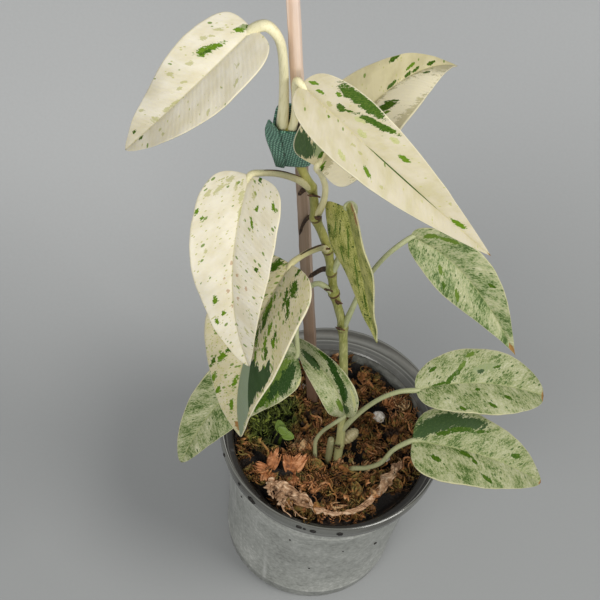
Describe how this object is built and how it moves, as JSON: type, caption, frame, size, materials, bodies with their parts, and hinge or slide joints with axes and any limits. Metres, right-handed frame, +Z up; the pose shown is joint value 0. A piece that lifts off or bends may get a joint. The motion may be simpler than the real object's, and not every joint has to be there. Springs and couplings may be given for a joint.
{
  "type": "potted climbing foliage plant",
  "caption": "Young climbing aroid with cream and green marbled leaves, tied to a thin wooden stake in a small round nursery pot.",
  "frame": {"origin": "centre of the pot's base, on the surface it stands on", "axes": "+Z up; -Y towards the plant's front; +X to the plant's right as seen from the front"},
  "size_m": [0.1796, 0.1181, 0.3503],
  "materials": {
    "pot_plastic": "translucent frosted grey, glossy at the lip",
    "moss": "coarse brown sphagnum and coir",
    "stake_wood": "raw sawn wood, matte",
    "stem_skin": "smooth olive skin, satin",
    "tie_tape": "green hook-and-loop weave",
    "leaf_cream": "cream with dark green flecks, satin",
    "leaf_speckled": "pale green marbling, satin",
    "root_bark": "rough dark brown",
    "dried_foliage": "dry, crinkled, matte",
    "seedling_green": "fresh green, satin",
    "perlite": "white, porous"
  },
  "bodies": {
    "root": {"pot": "pot_plastic", "substrate": "moss", "stake": "stake_wood", "stem": "stem_skin", "tie": "tie_tape", "leaf_01": "leaf_cream", "leaf_02": "leaf_cream", "leaf_03": "leaf_cream", "leaf_04": "leaf_cream", "leaf_05": "leaf_cream", "leaf_06": "leaf_speckled", "leaf_07": "leaf_speckled", "leaf_08": "leaf_speckled", "leaf_09": "leaf_speckled", "leaf_10": "leaf_speckled", "leaf_11": "leaf_speckled", "aerial_root_1": "root_bark", "aerial_root_2": "root_bark", "aerial_root_3": "root_bark", "petiole_stub": "stem_skin", "dried_sheath": "dried_foliage", "moss_frill_1": "dried_foliage", "moss_frill_2": "dried_foliage", "seedling": "seedling_green", "perlite_1": "perlite", "perlite_2": "perlite", "perlite_3": "perlite"}
  },
  "joints": []
}
